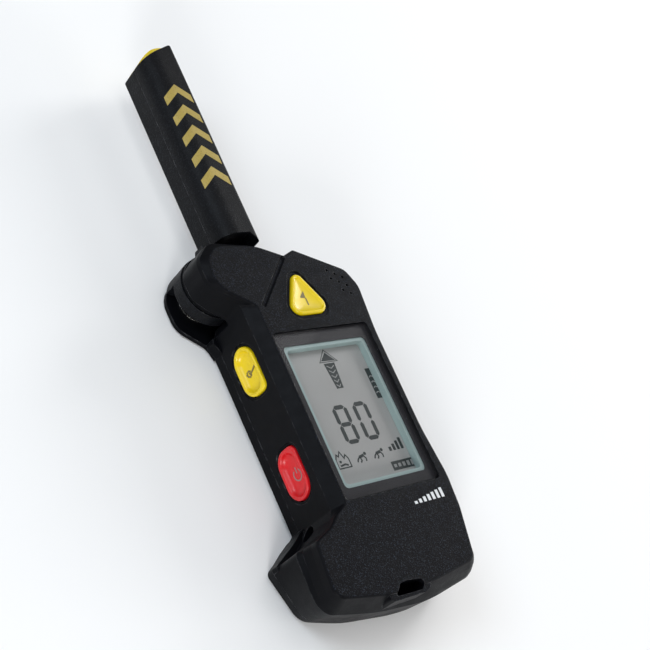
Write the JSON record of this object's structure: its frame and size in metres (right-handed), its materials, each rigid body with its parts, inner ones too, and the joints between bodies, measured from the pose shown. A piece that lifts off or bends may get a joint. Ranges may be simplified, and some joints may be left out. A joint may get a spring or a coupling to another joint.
{
  "type": "avalanche transceiver",
  "caption": "Hand-held avalanche transceiver with a grey display, a front mark button, two side buttons and an antenna arm that swings out from a corner hinge.",
  "frame": {"origin": "middle of the flat back face, on which the device lies", "axes": "+Z out of the display, +Y along the device towards the swung-out arm, +X to the right of the display"},
  "size_m": [0.0629, 0.2023, 0.0267],
  "materials": {
    "casing": "fine textured black moulding",
    "seal": "matt black rubber",
    "yellow_key": "satin yellow moulding",
    "red_key": "satin red moulding",
    "window": "clear hard-coated window",
    "mask": "dark grey printed mask",
    "display_light": "pale green-grey moulding",
    "display_glass": "grey liquid crystal glass",
    "steel": "brushed steel",
    "spring_steel": "bright spring wire",
    "brass": "turned brass",
    "board": "green solder resist",
    "chip": "black moulded chip",
    "ferrite": "sintered ferrite",
    "winding": "enamelled copper winding",
    "holder": "natural nylon",
    "cell": "plain battery jacket",
    "lead": "flexible cable jacket",
    "mesh": "fine woven mesh"
  },
  "bodies": {
    "casing": {"front_shell": "casing", "rear_shell": "casing", "casing_seal": "seal", "casing_screws": "steel", "hinge_pin": "steel", "hinge_cap": "casing", "hinge_washer": "spring_steel", "hinge_spacer": "casing", "hinge_o_ring": "seal", "hinge_lead": "lead", "display_window": "window", "window_mask": "mask", "window_seal": "seal", "display_frame": "display_light", "display_glass": "display_glass", "display_backlight": "holder", "display_connector": "seal", "main_board": "board", "processor": "chip", "shield_can": "steel", "board_parts": "chip", "mark_switch": "chip", "side_board": "board", "side_switches": "chip", "side_button_seal": "seal", "mark_button_seal": "seal", "speaker": "chip", "speaker_gasket": "seal", "speaker_mesh": "mesh", "vibration_motor": "steel", "base_antenna_rod": "ferrite", "base_antenna_coil": "winding", "base_antenna_holders": "holder", "height_antenna_rod": "ferrite", "height_antenna_coil": "winding", "battery_tray": "holder", "battery_cells": "cell", "battery_springs": "spring_steel", "battery_contacts": "spring_steel"},
    "arm": {"arm_front_shell": "casing", "arm_rear_shell": "casing", "arm_screws": "steel", "arm_antenna_rod": "ferrite", "arm_antenna_coil": "winding", "arm_antenna_cradle": "holder", "arm_magnet": "steel", "arm_lead": "lead", "hinge_bush": "brass", "lock_spring": "spring_steel"},
    "mark_button": {"mark_button": "yellow_key"},
    "option_button": {"option_button": "yellow_key"},
    "power_button": {"power_button": "red_key"},
    "lock_button": {"lock_button": "yellow_key"},
    "battery_cover": {"battery_cover": "casing", "cover_seal": "seal"},
    "cover_screw": {"cover_screw": "steel"}
  },
  "joints": [
    {"name": "arm_hinge", "type": "hinge", "parent": "casing", "child": "arm", "pos_m": [-0.0145, 0.053, 0], "axis": [0, 0, 1], "range_deg": [0, 180]},
    {"name": "mark_press", "type": "slide", "parent": "casing", "child": "mark_button", "axis": [0, 0, -1], "range_m": [0, 0.0007], "stiffness_N_per_m": 2500, "springref_m": -0.0004},
    {"name": "option_press", "type": "slide", "parent": "casing", "child": "option_button", "axis": [1, 0, 0], "range_m": [0, 0.0006], "stiffness_N_per_m": 2500, "springref_m": -0.0004},
    {"name": "power_press", "type": "slide", "parent": "casing", "child": "power_button", "axis": [1, 0, 0], "range_m": [0, 0.0006], "stiffness_N_per_m": 2500, "springref_m": -0.0004},
    {"name": "lock_slide", "type": "slide", "parent": "arm", "child": "lock_button", "axis": [0, -1, 0], "range_m": [0, 0.0012], "stiffness_N_per_m": 600, "springref_m": -0.001, "deforming": ["lock_spring"]},
    {"name": "cover_lift", "type": "slide", "parent": "casing", "child": "battery_cover", "axis": [0, 0, -1], "range_m": [0, 0.012]},
    {"name": "cover_screw_turn", "type": "hinge", "parent": "battery_cover", "child": "cover_screw", "pos_m": [0.0069, 0.0226, 0.001], "axis": [0, 0, -1], "range_deg": [0, 1080]}
  ]
}
